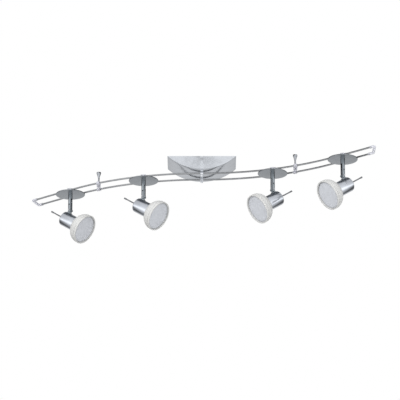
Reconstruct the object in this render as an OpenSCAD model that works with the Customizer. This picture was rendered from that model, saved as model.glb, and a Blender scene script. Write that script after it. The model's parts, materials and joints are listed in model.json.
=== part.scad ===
/* [Rail] */
// Diameter of each conductor rod
rod_d = 4; // [3:0.5:6]
// Distance between the two rods, centre to centre across the rail
rod_gap = 46.5; // [40:0.5:58]
// Gap between the canopy and the rods below it
rod_clear = 1; // [0.5:0.5:6]
// Radius of the tight bend next to the canopy
bend_r1 = 507; // [400:1:620]
// Radius of the middle bend
bend_r2 = 516; // [420:1:700]
// Radius of the slack bend at the rail's ends
bend_r3 = 3000; // [900:50:4000]
// Angle turned by each of the first two bends
bend_deg = 18.9; // [12:0.1:20]
// Length of the rail left of the canopy's middle, along the bend
rail_left = 463; // [440:1:520]
// Length of the rail right of the canopy's middle, along the bend
rail_right = 465; // [440:1:520]
// How much further the front rod reaches than the rear rod at the left end
front_extra_left = 17; // [0:1:20]
// How much further the front rod reaches than the rear rod at the right end
front_extra_right = 1; // [0:1:20]

/* [End caps] */
// Width of each limb of an end cap
cap_w = 7; // [6:0.5:12]
// Height of an end cap
cap_h = 6.4; // [6:0.2:12]
// How far a rod goes into its end cap
cap_grip = 5; // [3:0.5:8]
// How far an end cap reaches past the end of a rod
cap_reach = 13; // [10:0.5:20]

/* [Canopy] */
// Width of the canopy along the rail
canopy_w = 171; // [150:1:210]
// Depth of the canopy across the rail
canopy_d = 96; // [88:1:120]
// Height of the canopy's vault below the ceiling
canopy_h = 34; // [32:1:45]
// Thickness of the canopy's sheet metal
canopy_wall = 1.2; // [0.8:0.1:2]
// Depth of the side screws below the ceiling
side_screw_z = 8; // [7:0.5:11]
// Diameter of the side screws' thread
side_screw_d = 3.3; // [2.5:0.1:4]
// Diameter of the side screws' heads
side_head_d = 5.5; // [5:0.5:9]

/* [Ceiling bracket] */
// Thickness of the bracket's sheet
plate_t = 1.5; // [1:0.1:3]
// Width of the bar along the rail
plate_w = 28; // [22:1:34]
// Length of the bar along the rail
plate_len = 136; // [128:1:142]
// Width of the cross arm that carries the side screws
arm_w = 26; // [20:1:30]
// Distance between the two ceiling slots
slot_spacing = 110; // [104:1:116]
// Length of each ceiling slot, end to end
slot_len = 16; // [10:1:18]
// Width of each ceiling slot
slot_w = 4.5; // [4:0.1:6]
// Diameter of the hole that the supply cable comes through
cable_hole_d = 12; // [8:0.5:14]
// Place of the cable hole along the rail
cable_hole_x = 35; // [33:0.5:37]
// Height of the flanges that take the side screws
flange_h = 14; // [12:0.5:18]

/* [Power supply] */
// Length of the transformer
trafo_len = 64; // [50:1:68]
// Width of the transformer
trafo_w = 30; // [24:1:34]
// Height of the transformer
trafo_h = 17; // [14:0.5:18]
// Length of the terminal block along the rail
terminal_len = 16; // [12:1:18]
// Width of the terminal block across the rail
terminal_w = 24; // [18:1:26]
// Height of the terminal block
terminal_h = 11; // [9:0.5:13]
// Diameter of the leads inside the canopy
lead_d = 2.4; // [1.6:0.2:3]

/* [Feed] */
// Diameter of each feed post
post_d = 4; // [3:0.5:5]
// Diameter of the insulating bush round each post
bush_d = 10; // [8:0.5:12]
// Width of a feed clamp along the rod
clamp_w = 7.5; // [6:0.5:12]
// Depth of a feed clamp across the rod
clamp_d = 9; // [8:0.5:12]
// Diameter of the thumb nut under a feed clamp
knob_d = 7; // [6:0.5:10]
// Height of the thumb nut under a feed clamp
knob_h = 4.5; // [3:0.5:7]

/* [Standoffs] */
// Station of the left standoff along the rail
standoff_s1 = -273; // [-300:1:-240]
// Station of the right standoff along the rail
standoff_s2 = 241; // [230:1:300]
// Diameter of a standoff's foot at the ceiling
foot_d = 11; // [9:0.5:16]
// Height of the foot's straight band
foot_band = 3; // [2:0.5:5]
// Length of the cone below the band
foot_cone = 13; // [8:0.5:18]
// Diameter of a standoff's stem
shank_d = 4; // [3:0.5:5]
// Radius of the threaded hole in the foot
thread_r = 1.65; // [1.2:0.05:2.1]
// Depth of the threaded hole in the foot
thread_len = 10; // [6:0.5:12]
// Outer diameter of a clip round a rod
clip_d = 9; // [8:0.5:12]
// Width of a clip along the rod
clip_w = 9; // [6:0.5:12]

/* [Carriers] */
// Stations of the lamps along the rail, from the canopy's middle
lamp_s1 = -363; // [-385:1:-330]
// Station of the second lamp
lamp_s2 = -148; // [-190:1:-140]
// Station of the third lamp
lamp_s3 = 180; // [145:1:190]
// Station of the fourth lamp
lamp_s4 = 379; // [345:1:400]
// Diameter of each carrier disc
disc_d = 74; // [66:1:84]
// Thickness of each carrier disc
disc_t = 2.5; // [2:0.1:4]
// Width of the insulating saddle along the rods
saddle_w = 14; // [13:1:26]
// Thickness of the saddle's roof over the rods
saddle_roof = 1.3; // [1:0.1:3]
// Distance between the two saddle screws
saddle_pitch = 26; // [22:1:28]

/* [Stems] */
// Diameter of a lamp stem
stem_d = 11; // [9:0.5:13]
// Distance from the disc down to the tilt hinge
stem_drop = 41; // [36:1:60]
// Length of the slot in the lower end of the stem
fork_len = 19; // [16:1:24]
// Width of the slot
fork_w = 4; // [3:0.1:4.5]
// Diameter of the stem's neck through the disc
neck_d = 6; // [5:0.5:7]
// Diameter of the wire bore in the neck
wire_d = 3.5; // [2:0.1:4]
// Diameter of the hinge screw
hinge_d = 3; // [2:0.1:4]
// Diameter of the hinge screw's knurled head
hinge_head_d = 6.5; // [5:0.5:9]
// Diameter of the grub screw in the stem's face
grub_d = 3.6; // [2.5:0.1:4]
// Height of the grub screw above the tilt hinge
grub_rise = 14.5; // [10:0.5:24]

/* [Lamp heads] */
// Turn of the left-hand lamps about their stems, from the rail's axis
pan_left = -27; // [-60:0.5:0]
// Tilt of each lamp below the horizontal
tilt = 33; // [0:0.5:60]
// Diameter of the barrel
barrel_d = 36.5; // [30:0.5:44]
// Length of the barrel
barrel_len = 46; // [38:0.5:56]
// Thickness of the barrel's wall
barrel_wall = 1.2; // [0.8:0.1:2]
// Gap between the stem's lower end and the barrel
hinge_gap = 1.8; // [1.8:0.1:6]
// Distance of the tilt hinge in front of the barrel's rear face
hinge_ahead = 5.7; // [5:0.1:14]
// Outer diameter of the shade's rim
shade_d = 76.5; // [64:0.5:92]
// Length of the shade from its neck to its rim
shade_len = 31.5; // [26:0.5:42]
// Length of the straight band at the rim
rim_band = 5.7; // [4.5:0.1:8]
// Thickness of the shade at the rim
rim_wall = 2.9; // [2.4:0.1:4]
// Thickness of the shade's bowl
bowl_wall = 1.6; // [1.2:0.1:3]
// How far the shade's neck laps over the barrel
neck_lap = 2.5; // [2:0.5:5]
// Thickness of the front glass
lens_t = 2.5; // [2:0.1:4]
// Depth of the front glass behind the rim
lens_recess = 2.5; // [0.3:0.1:3.4]
// Diameter of the aiming rod
aim_d = 3.2; // [2:0.1:4]
// Length of the aiming rod behind the barrel
aim_len = 43; // [30:1:50]
// Diameter of the lamp capsule
bulb_d = 9; // [7:0.5:12]

/* [Hidden] */
$fn = 96;

fit = 0.05;          // radial clearance of a pin, screw or rod in its hole
gap = 0.1;           // clearance between two flat faces that turn on each other
seat = 0.2;          // clearance round a piece that drops into a recess
over = 1;            // how far a cutting tool runs past a face
sleeve_t = 0.2;      // thickness of the sleeve where two bends of a rod meet
rod_fit = 0.25;      // clearance round a rod where it's clipped, which lets a sleeve through
sleeve_len = 4;      // length of that sleeve
rod_r = rod_d / 2;
rod_z = -(canopy_h + rod_clear + rod_r);

// Vault of the canopy: a circular arc over the width
vault_r = (canopy_w * canopy_w / 4 + canopy_h * canopy_h) / (2 * canopy_h);

// Three tangent arcs on each side of the canopy make the S
bends = [bend_r1, bend_r2, bend_r3];
arc = bend_deg * PI / 180;
starts = [0, bend_r1 * arc, (bend_r1 + bend_r2) * arc];
function bend_of(s) = s < starts[1] ? 0 : s < starts[2] ? 1 : 2;
function turn_at(s) = let (k = bend_of(s)) k * bend_deg + (s - starts[k]) / bends[k] * 180 / PI;
function chord(r, a, b) = r * [sin(b) - sin(a), cos(b) - cos(a)];
function bend_start(k) =
    k == 0 ? [0, 0] : bend_start(k - 1) + chord(bends[k - 1], (k - 1) * bend_deg, k * bend_deg);
function half_at(s) = let (k = bend_of(s)) bend_start(k) + chord(bends[k], k * bend_deg, turn_at(s));
// Middle of the rail at station s, and the way it heads there
function rail_at(s) = s < 0 ? -half_at(-s) : half_at(s);
function heading(s) = -turn_at(abs(s));

lamp_s = [lamp_s1, lamp_s2, lamp_s3, lamp_s4];
pans = [pan_left, pan_left, -180 - pan_left, -180 - pan_left];
sides = [1, 1, -1, -1];

// Carrier levels
disc_top = rod_z - rod_r - rod_fit;
disc_low = disc_top - disc_t;
saddle_slot = rod_d + 2 * rod_fit;
saddle_h = saddle_slot + saddle_roof;
saddle_top = disc_top + saddle_h;
saddle_wall = 2;
saddle_len = rod_gap + saddle_slot + 2 * saddle_wall;
screw_d = 3;
screw_floor = 0.8;
screw_head_d = 5.5;
screw_head_h = 2;
locknut_h = 4;
locknut_lip = 4;
locknut_af = neck_d + locknut_lip;
neck_spare = 1.5;

// Stem levels, measured down from the disc
stem_top = disc_low - gap;
pivot_z = disc_low - stem_drop;
ear_r = stem_d / 2;
grub_deep = 1.4;
hinge_head_h = 3;
hinge_nut_h = 2;
hinge_nut_lip = 2.4;
tongue_t = fork_w - 2 * seat;
eye_wall = 2.6;
eye_r = hinge_d / 2 + eye_wall;
foot_t = 1.4;
foot_w = 9;
foot_behind = 2.5;
foot_ahead = 9;

// Lamp head, along its own axis from the barrel's rear face
barrel_r = barrel_d / 2;
pivot_up = barrel_r + ear_r + hinge_gap;
neck_x = barrel_len - neck_lap;
rim_r = shade_d / 2;
rim_x = neck_x + shade_len;
neck_r = barrel_r + fit + bowl_wall;
bowl_end = rim_x - rim_band;
bowl_steps = 14;
// The bowl is a quarter of an ellipse that starts at the neck and is square to the rim
bowl_half = (bowl_end - neck_x) / sqrt(1 - pow(neck_r / rim_r, 2));
function bowl_r(x) = rim_r * sqrt(1 - pow((bowl_end - x) / bowl_half, 2));
lens_back = rim_x - lens_recess - lens_t;
lens_r = rim_r - rim_wall - seat;
seat_lip = 1.6;
holder_x = 12;
holder_len = 18;
holder_flange = 2;
holder_space = 1.8;
holder_r = barrel_r - barrel_wall - holder_space;
bulb_x = holder_x + holder_len;
bulb_len = 20;
pin_r = 0.6;
pin_pitch = 4.6;
pin_deep = 6;
back_t = 2;
back_round = 3;
back_steps = 6;
aim_grip = 4;
aim_collar_r = aim_d / 2 + 1.6;

module between(p, q, d) {
    v = q - p;
    translate(p)
        rotate([0, acos(v[2] / norm(v)), atan2(v[1], v[0])])
            cylinder(d = d, h = norm(v));
}

// Places children at a station of the rail, halfway between the rods
module at_station(s, z = 0) {
    p = rail_at(s);
    translate([p[0], p[1], z]) children();
}

// A thin sleeve covers each place where two bends of a rod meet
module half_rail(length) {
    for (k = [0:2]) translate(bend_start(k))
        rotate([0, 90, -k * bend_deg]) cylinder(r = rod_r + sleeve_t, h = sleeve_len, center = true);
    for (k = [0:2]) {
        first = k * bend_deg;
        last = k == 2 ? turn_at(length) : first + bend_deg;
        centre = bend_start(k) - bends[k] * [sin(first), cos(first)];
        translate(centre)
            rotate([0, 0, 90 - last])
                rotate_extrude(angle = last - first)
                    translate([bends[k], 0]) circle(r = rod_r);
    }
}

module rail(left, right) {
    half_rail(right);
    rotate([0, 0, 180]) half_rail(left);
}

module front_rod() {
    color([0.62, 0.63, 0.65])
        translate([0, -rod_gap / 2, rod_z])
            rail(rail_left + front_extra_left, rail_right + front_extra_right);
}

module rear_rod() {
    color([0.62, 0.63, 0.65])
        translate([0, rod_gap / 2, rod_z]) rail(rail_left, rail_right);
}

cap_waist = 0.3;
// A clear bow joins the ends of both rods; out is 1 at the right and -1 at the left
module end_cap(out, length, front_extra) {
    ends = [[out * (length + front_extra), -rod_gap / 2], [out * length, rod_gap / 2]];
    tips = [for (e = ends) rail_at(e[0]) + [0, e[1]]];
    ways = [for (e = ends) out * [cos(heading(e[0])), sin(heading(e[0]))]];
    corners = [for (i = [0, 1]) tips[i] + ways[i] * (cap_reach - cap_w / 2)];
    mouths = [for (i = [0, 1]) tips[i] - ways[i] * cap_grip];
    color([0.80, 0.82, 0.86, 0.6])
        difference() {
            translate([0, 0, rod_z - cap_h / 2])
                linear_extrude(cap_h) {
                    for (c = corners) translate(c) circle(d = cap_w);
                    limb(corners[0], corners[1]);
                    for (i = [0, 1]) limb(corners[i], mouths[i]);
                }
            for (i = [0, 1]) {
                foot = mouths[i] - ways[i] * over;
                tip = tips[i] + ways[i] * seat;
                between([foot[0], foot[1], rod_z], [tip[0], tip[1], rod_z], rod_d + 4 * fit);
            }
        }
}

module limb(p, q) {
    v = q - p;
    translate(p) rotate(atan2(v[1], v[0]))
        translate([0, -cap_w / 2 + cap_waist]) square([norm(v), cap_w - 2 * cap_waist]);
}

module left_end_cap() { end_cap(-1, rail_left, front_extra_left); }
module right_end_cap() { end_cap(1, rail_right, front_extra_right); }

// Section of the vault, thinned by wall
module vault_section(wall) {
    intersection() {
        translate([0, vault_r - canopy_h]) circle(r = vault_r - wall, $fn = 180);
        translate([-canopy_w / 2, -canopy_h - over]) square([canopy_w, canopy_h + over + wall]);
    }
}

module canopy() {
    color([0.80, 0.81, 0.83])
        difference() {
            rotate([90, 0, 0]) linear_extrude(canopy_d, center = true) vault_section(0);
            rotate([90, 0, 0])
                linear_extrude(canopy_d - 2 * canopy_wall, center = true) vault_section(canopy_wall);
            for (y = [-1, 1]) translate([0, y * rod_gap / 2, -canopy_h - over])
                cylinder(r = bush_r + fit, h = canopy_wall + 2 * over);
            for (y = [-1, 1]) translate([0, y * canopy_d / 2, -side_screw_z])
                rotate([90, 0, 0])
                    cylinder(r = side_screw_d / 2 + seat, h = 4 * canopy_wall, center = true);
        }
}

flange_y = canopy_d / 2 - canopy_wall - seat;

module ceiling_bracket() {
    color([0.72, 0.73, 0.70])
        difference() {
            union() {
                translate([-plate_len / 2, -plate_w / 2, -plate_t]) cube([plate_len, plate_w, plate_t]);
                translate([-arm_w / 2, -flange_y, -plate_t]) cube([arm_w, 2 * flange_y, plate_t]);
                for (y = [-flange_y, flange_y - plate_t])
                    translate([-arm_w / 2, y, -flange_h]) cube([arm_w, plate_t, flange_h]);
            }
            for (x = [-1, 1]) translate([x * slot_spacing / 2, 0, -plate_t - over])
                linear_extrude(plate_t + 2 * over) {
                    square([slot_len - slot_w, slot_w], center = true);
                    for (e = [-1, 1]) translate([e * (slot_len - slot_w) / 2, 0]) circle(d = slot_w);
                }
            translate([cable_hole_x, 0, -plate_t - over])
                cylinder(d = cable_hole_d, h = plate_t + 2 * over);
            for (y = [-1, 1]) translate([0, y * flange_y, -side_screw_z])
                rotate([90, 0, 0])
                    cylinder(r = side_screw_d / 2 + fit, h = 4 * plate_t, center = true);
        }
}

head_band = 1.2;
head_crown = 0.8;
head_taper = 2;
screw_past = 2;
module canopy_screws() {
    shank = canopy_wall + seat + plate_t + screw_past;
    color([0.75, 0.76, 0.78])
        for (a = [0, 180]) rotate([0, 0, a])
            translate([0, -canopy_d / 2, -side_screw_z])
                rotate([90, 0, 0])
                    difference() {
                        union() {
                            translate([0, 0, -shank]) cylinder(d = side_screw_d, h = shank + over);
                            cylinder(d = side_head_d, h = head_band);
                            translate([0, 0, head_band])
                                cylinder(d1 = side_head_d, d2 = side_head_d - head_taper, h = head_crown);
                        }
                        translate([0, 0, head_band + over]) cube([side_head_d, 1, 2 * over], center = true);
                    }
}

trafo_apart = 4;
trafo_x = cable_hole_x - terminal_len / 2 - trafo_apart - trafo_len;
trafo_z = -plate_t - gap;
feed_z = trafo_z - trafo_h / 2;
socket_deep = 3;

terminal_x = cable_hole_x - terminal_len / 2;
terminal_drop = 7;
terminal_z = -plate_t - terminal_h - terminal_drop;
terminal_ys = [-1, 0, 1] * (terminal_w / 3);
terminal_hole_d = 4;
terminal_way_z = terminal_z + terminal_hole_d;
terminal_screw_r = 1.5;
terminal_screw_sink = 2.5;

module transformer() {
    color([0.88, 0.88, 0.86])
        difference() {
            translate([trafo_x, -trafo_w / 2, trafo_z - trafo_h]) cube([trafo_len, trafo_w, trafo_h]);
            for (y = [-1, 1]) {
                translate([trafo_x - over, y * trafo_w / 4, feed_z]) rotate([0, 90, 0])
                    cylinder(r = lead_d / 2 + fit, h = socket_deep + over);
                translate([trafo_x + trafo_len - socket_deep, y * terminal_w / 3, terminal_way_z])
                    rotate([0, 90, 0]) cylinder(r = lead_d / 2 + fit, h = socket_deep + over);
            }
        }
}

module terminal_block() {
    color([0.93, 0.92, 0.88])
        difference() {
            translate([terminal_x, -terminal_w / 2, terminal_z])
                cube([terminal_len, terminal_w, terminal_h]);
            for (y = terminal_ys) {
                translate([terminal_x - over, y, terminal_way_z])
                    rotate([0, 90, 0]) cylinder(d = terminal_hole_d, h = terminal_len + 2 * over);
                for (x = [0.25, 0.75])
                    translate([terminal_x + x * terminal_len, y, terminal_way_z])
                        cylinder(r = terminal_screw_r + fit, h = terminal_h);
            }
        }
}

module terminal_screws() {
    low = terminal_way_z + over;
    high = terminal_z + terminal_h - terminal_screw_sink;
    color([0.78, 0.74, 0.55])
        for (y = terminal_ys, x = [0.25, 0.75])
            translate([terminal_x + x * terminal_len, y, 0])
                difference() {
                    translate([0, 0, low]) cylinder(r = terminal_screw_r, h = high - low);
                    translate([0, 0, high]) cube([4, 0.8, 1.2], center = true);
                }
}

// Leads: transformer to terminal block, and transformer round its side to each feed post
lead_out = 4;
lead_grip = 2;
lead_bend = 3;
lead_lap = 0.5;

// Quarter bend in a sleeve at corner p, from the way a to the way b
module elbow(p, a, b) {
    c = p + lead_bend * (a + b);
    n = cross(b, a);
    multmatrix([[-b[0], -a[0], n[0], c[0]], [-b[1], -a[1], n[1], c[1]], [-b[2], -a[2], n[2], c[2]]])
        rotate_extrude(angle = 90) translate([lead_bend, 0]) circle(r = lead_d / 2 + sleeve_t);
}

module canopy_leads() {
    color([0.25, 0.25, 0.27])
        for (y = [-1, 1]) {
            between([trafo_x + trafo_len - socket_deep + gap, y * terminal_w / 3, terminal_way_z],
                    [terminal_x + lead_grip, y * terminal_w / 3, terminal_way_z], lead_d);
            path = [[trafo_x + socket_deep - gap, y * trafo_w / 4, feed_z],
                    [trafo_x - lead_out, y * trafo_w / 4, feed_z],
                    [trafo_x - lead_out, y * rod_gap / 2, feed_z],
                    [0, y * rod_gap / 2, feed_z],
                    [0, y * rod_gap / 2, post_end + gap]];
            ways = [for (k = [0:3]) (path[k + 1] - path[k]) / norm(path[k + 1] - path[k])];
            short = lead_bend - lead_lap;
            for (k = [0:3])
                between(path[k] + ways[k] * (k == 0 ? 0 : short),
                        path[k + 1] - ways[k] * (k == 3 ? 0 : short), lead_d);
            for (k = [1:3]) elbow(path[k], -ways[k - 1], ways[k]);
        }
}

// Feed: a threaded post comes through the canopy in a bush, and its clamp holds the rod
bush_flange = 1.5;
bush_lip = 2;
bush_r = bush_d / 2 - bush_lip;
post_reach = 13;
nut_h = 2.4;
post_end = -canopy_h + canopy_wall + post_reach;
post_low = rod_z + rod_r + sleeve_t + gap;

module feed_posts() {
    color([0.80, 0.74, 0.50])
        for (y = [-1, 1]) translate([0, y * rod_gap / 2, 0]) {
            translate([0, 0, post_low])
                cylinder(d = post_d, h = post_end - post_low);
            translate([0, 0, -canopy_h + canopy_wall + bush_flange + gap])
                difference() {
                    cylinder(d = 2 * post_d, h = nut_h, $fn = 6);
                    translate([0, 0, -over]) cylinder(d = post_d - 2 * fit, h = nut_h + 2 * over);
                }
        }
}

module feed_bushes() {
    color([0.92, 0.91, 0.86])
        for (y = [-1, 1]) translate([0, y * rod_gap / 2, -canopy_h]) {
            difference() {
                union() {
                    cylinder(r = bush_r, h = canopy_wall + bush_flange);
                    translate([0, 0, canopy_wall + gap]) cylinder(d = bush_d, h = bush_flange - gap);
                }
                translate([0, 0, -over]) cylinder(r = post_d / 2 + fit, h = canopy_wall + 4 * over);
            }
        }
}

clamp_floor = 1.6;
clamp_low = rod_z - rod_r - sleeve_t - clamp_floor;
knob_stud_d = 3;
knob_bevel = 1;

module feed_clamps() {
    color([0.82, 0.83, 0.85])
        for (y = [-1, 1]) translate([0, y * rod_gap / 2, 0])
            difference() {
                translate([-clamp_w / 2, -clamp_d / 2, clamp_low])
                    cube([clamp_w, clamp_d, -canopy_h - gap - clamp_low]);
                translate([0, 0, rod_z]) rotate([0, 90, 0])
                    cylinder(r = rod_r + sleeve_t + fit, h = clamp_w + 2 * over, center = true);
                translate([0, 0, rod_z + rod_r]) cylinder(r = post_d / 2 + fit, h = -rod_z);
                translate([0, 0, clamp_low - over])
                    cylinder(r = knob_stud_d / 2 + fit, h = clamp_floor + rod_r + over);
            }
}

module feed_knobs() {
    color([0.70, 0.71, 0.74])
        for (y = [-1, 1]) translate([0, y * rod_gap / 2, 0]) {
            translate([0, 0, clamp_low - knob_h])
                cylinder(d1 = knob_d - 1.5 * knob_bevel, d2 = knob_d, h = knob_bevel);
            translate([0, 0, clamp_low - knob_h + knob_bevel])
                cylinder(d = knob_d, h = knob_h - knob_bevel);
            translate([0, 0, clamp_low - over]) cylinder(d = knob_stud_d, h = clamp_floor + over - gap);
        }
}

// Standoff: a flared foot at the ceiling, then a thin stem down to the clip
clip_rise = 4;
clip_top = rod_z + rod_r + clip_rise;
clip_bar = 5;
clip_snap = 0.4;
hub_wall = 3;
hub_rise = 2;

module standoff(s) {
    color([0.66, 0.67, 0.70])
        at_station(s)
            difference() {
                rotate_extrude()
                    polygon([[0, 0], [foot_d / 2, 0], [foot_d / 2, -foot_band],
                             [shank_d / 2, -foot_band - foot_cone], [shank_d / 2, rod_z - rod_r],
                             [0, rod_z - rod_r]]);
                translate([0, 0, -thread_len]) cylinder(r = thread_r, h = thread_len + over);
            }
}

module left_standoff() { standoff(standoff_s1); }
module right_standoff() { standoff(standoff_s2); }

module standoff_clips() {
    color([0.80, 0.80, 0.88, 0.6])
        for (s = [standoff_s1, standoff_s2]) at_station(s)
            difference() {
                union() {
                    translate([-clip_bar / 2, -rod_gap / 2, rod_z])
                        cube([clip_bar, rod_gap, clip_top - rod_z]);
                    translate([0, 0, rod_z - rod_r])
                        cylinder(r = shank_d / 2 + hub_wall, h = clip_top - rod_z + rod_r + hub_rise);
                    for (y = [-1, 1]) translate([0, y * rod_gap / 2, rod_z])
                        rotate([0, 90, heading(s)]) cylinder(d = clip_d, h = clip_w, center = true);
                }
                translate([0, 0, rod_z - rod_r - over]) cylinder(r = shank_d / 2 + fit, h = 4 * clip_d);
                for (y = [-1, 1]) translate([0, y * rod_gap / 2, rod_z])
                    rotate([0, 0, heading(s)]) {
                        rotate([0, 90, 0]) cylinder(r = rod_r + rod_fit, h = 3 * clip_w, center = true);
                        translate([-clip_w, -rod_r + clip_snap, -clip_d])
                            cube([2 * clip_w, rod_d - 2 * clip_snap, clip_d]);
                    }
            }
}

module carrier_disc(i) {
    color([0.66, 0.67, 0.70])
        at_station(lamp_s[i - 1], disc_low)
            difference() {
                cylinder(d = disc_d, h = disc_t, $fn = 128);
                translate([0, 0, -over]) cylinder(r = neck_d / 2 + fit, h = disc_t + 2 * over);
                for (y = [-1, 1]) translate([0, y * saddle_pitch / 2, screw_floor - gap])
                    cylinder(r = screw_d / 2 + fit, h = disc_t);
            }
}

module rod_saddles() {
    color([0.85, 0.85, 0.84])
        for (s = lamp_s) at_station(s, disc_top)
            difference() {
                translate([-saddle_w / 2, -saddle_len / 2, 0]) cube([saddle_w, saddle_len, saddle_h]);
                translate([0, 0, -over]) cylinder(r = neck_d / 2 + fit, h = saddle_h + 2 * over);
                for (y = [-1, 1]) {
                    translate([0, y * saddle_pitch / 2, -over])
                        cylinder(r = screw_d / 2 + fit, h = saddle_h + 2 * over);
                    translate([0, y * rod_gap / 2, 0]) rotate([0, 0, heading(s)])
                        translate([-saddle_w, -saddle_slot / 2, -over])
                            cube([2 * saddle_w, saddle_slot, saddle_slot + over]);
                }
            }
}

module saddle_screws() {
    color([0.75, 0.76, 0.78])
        for (s = lamp_s, y = [-1, 1]) at_station(s, disc_low)
            translate([0, y * saddle_pitch / 2, 0])
                difference() {
                    union() {
                        translate([0, 0, screw_floor])
                            cylinder(d = screw_d, h = disc_t - screw_floor + saddle_h + over);
                        translate([0, 0, disc_t + saddle_h]) cylinder(d = screw_head_d, h = screw_head_h);
                    }
                    translate([0, 0, disc_t + saddle_h + screw_head_h])
                        cube([screw_head_d, 0.9, 1.6], center = true);
                }
}

// Places children at the tilt hinge of lamp i, turned with its stem
module at_pivot(i) {
    at_station(lamp_s[i - 1], pivot_z) rotate([0, 0, pans[i - 1]]) children();
}

// Places children in the head of lamp i: local X runs along the barrel from its rear face
module in_head(i) {
    at_pivot(i) rotate([0, tilt, 0]) translate([-hinge_ahead, 0, -pivot_up]) children();
}

// Revolves a profile of [distance along the head, radius] points
module revolve(points) {
    rotate([0, 90, 0]) rotate_extrude() polygon([for (p = points) [p[1], p[0]]]);
}

// Stem: a tube that hangs on its neck, with a fork at its lower end
module stem(i) {
    drop = stem_top - pivot_z;
    color([0.78, 0.79, 0.82])
        at_pivot(i)
            difference() {
                union() {
                    cylinder(d = stem_d, h = drop);
                    rotate([90, 0, 0]) intersection() {
                        cylinder(r = ear_r, h = stem_d, center = true);
                        rotate([90, 0, 0]) cylinder(d = stem_d, h = 2 * stem_d, center = true);
                    }
                    cylinder(d = neck_d, h = saddle_top + locknut_h + neck_spare - pivot_z);
                }
                translate([0, 0, fork_len - over]) cylinder(d = wire_d, h = 2 * stem_drop);
                translate([-stem_d, -fork_w / 2, -stem_d]) cube([2 * stem_d, fork_w, stem_d + fork_len]);
                rotate([90, 0, 0]) cylinder(r = hinge_d / 2 + fit, h = 2 * stem_d, center = true);
                translate([0, -sides[i - 1] * stem_d / 2, grub_rise]) rotate([90, 0, 0])
                    cylinder(d = grub_d, h = 2 * grub_deep, center = true);
            }
}

// Hinge screw with its knurled head and nut, grub screw, and the locknut on the stem's neck
module swivel_fasteners(i) {
    side = sides[i - 1];
    flat = stem_d / 2;
    color([0.60, 0.61, 0.64])
        at_pivot(i) {
            translate([0, side * (flat + hinge_head_h / 2), 0]) rotate([90, 0, 0])
                cylinder(d = hinge_head_d, h = hinge_head_h, center = true);
            rotate([90, 0, 0]) cylinder(d = hinge_d, h = stem_d + 2 * hinge_nut_h, center = true);
            translate([0, -side * (flat + hinge_nut_h / 2), 0]) rotate([90, 0, 0])
                cylinder(d = hinge_d + hinge_nut_lip, h = hinge_nut_h, center = true, $fn = 6);
            translate([0, -side * (flat - grub_deep / 2 - gap), grub_rise]) rotate([90, 0, 0])
                cylinder(d = grub_d - 2 * fit, h = grub_deep / 2, center = true);
            translate([0, 0, saddle_top + gap - pivot_z]) difference() {
                cylinder(d = locknut_af / cos(30), h = locknut_h, $fn = 6);
                translate([0, 0, -over]) cylinder(r = neck_d / 2 + fit, h = locknut_h + 2 * over);
            }
        }
}

// Tongue: an eye on the hinge screw, a web down to the barrel and a curved foot on its skin
module tilt_tongue(i) {
    foot_x = [hinge_ahead - foot_behind, hinge_ahead + foot_ahead];
    color([0.70, 0.71, 0.74])
        in_head(i)
            difference() {
                union() {
                    translate([0, tongue_t / 2, 0]) rotate([90, 0, 0]) linear_extrude(tongue_t) {
                        translate([hinge_ahead, pivot_up]) circle(r = eye_r);
                        polygon([[hinge_ahead - eye_r, pivot_up], [foot_x[0], barrel_r - over],
                                 [foot_x[1], barrel_r - over], [hinge_ahead + eye_r, pivot_up]]);
                    }
                    intersection() {
                        translate([foot_x[0], 0, 0]) rotate([0, 90, 0])
                            cylinder(r = barrel_r + foot_t, h = foot_x[1] - foot_x[0]);
                        translate([foot_x[0], -foot_w / 2, 0])
                            cube([foot_x[1] - foot_x[0] + over, foot_w, 2 * barrel_r]);
                    }
                }
                translate([-over, 0, 0]) rotate([0, 90, 0])
                    cylinder(r = barrel_r + fit / 2, h = barrel_len);
                translate([hinge_ahead, 0, pivot_up]) rotate([90, 0, 0])
                    cylinder(r = hinge_d / 2 + fit, h = 2 * stem_d, center = true);
            }
}

// Barrel: a turned tube with a closed, rounded rear end
module barrel(i) {
    bore_r = barrel_r - barrel_wall;
    back_fillet = back_round - 1;
    color([0.72, 0.73, 0.76])
        in_head(i)
            difference() {
                revolve(concat(
                    [[0, 0]],
                    [for (k = [0:back_steps]) let (a = 90 * k / back_steps)
                        [back_round * (1 - cos(a)), barrel_r - back_round * (1 - sin(a))]],
                    [[barrel_len, barrel_r], [barrel_len, bore_r], [back_t + back_fillet, bore_r],
                     [back_t, bore_r - back_fillet], [back_t, 0]]));
                translate([-over, 0, 0]) rotate([0, 90, 0])
                    cylinder(r = aim_d / 2 + fit, h = back_t + 2 * over);
            }
}

// Lampholder: a ceramic body on a thin flange that rests in the barrel
module lampholder(i) {
    color([0.90, 0.89, 0.85])
        in_head(i)
            difference() {
                union() {
                    translate([holder_x, 0, 0]) rotate([0, 90, 0]) cylinder(r = holder_r, h = holder_len);
                    translate([holder_x, 0, 0]) rotate([0, 90, 0])
                        cylinder(r = barrel_r - barrel_wall - fit, h = holder_flange);
                }
                for (y = [-1, 1]) translate([bulb_x - pin_deep - over, y * pin_pitch / 2, 0])
                    rotate([0, 90, 0]) cylinder(r = pin_r + fit, h = pin_deep + 2 * over);
            }
}

// Halogen capsule on two pins
module bulb(i) {
    r = bulb_d / 2;
    color([0.92, 0.93, 0.95, 0.7])
        in_head(i) {
            revolve(concat(
                [[bulb_x + gap, 0], [bulb_x + gap, r - 1], [bulb_x + 5, r - 1], [bulb_x + 6.5, r]],
                [for (k = [0:6]) [bulb_x + bulb_len - r + r * sin(15 * k), r * cos(15 * k)]]));
            for (y = [-1, 1]) translate([bulb_x - pin_deep, y * pin_pitch / 2, 0]) rotate([0, 90, 0])
                cylinder(r = pin_r, h = pin_deep + over);
        }
}

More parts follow.
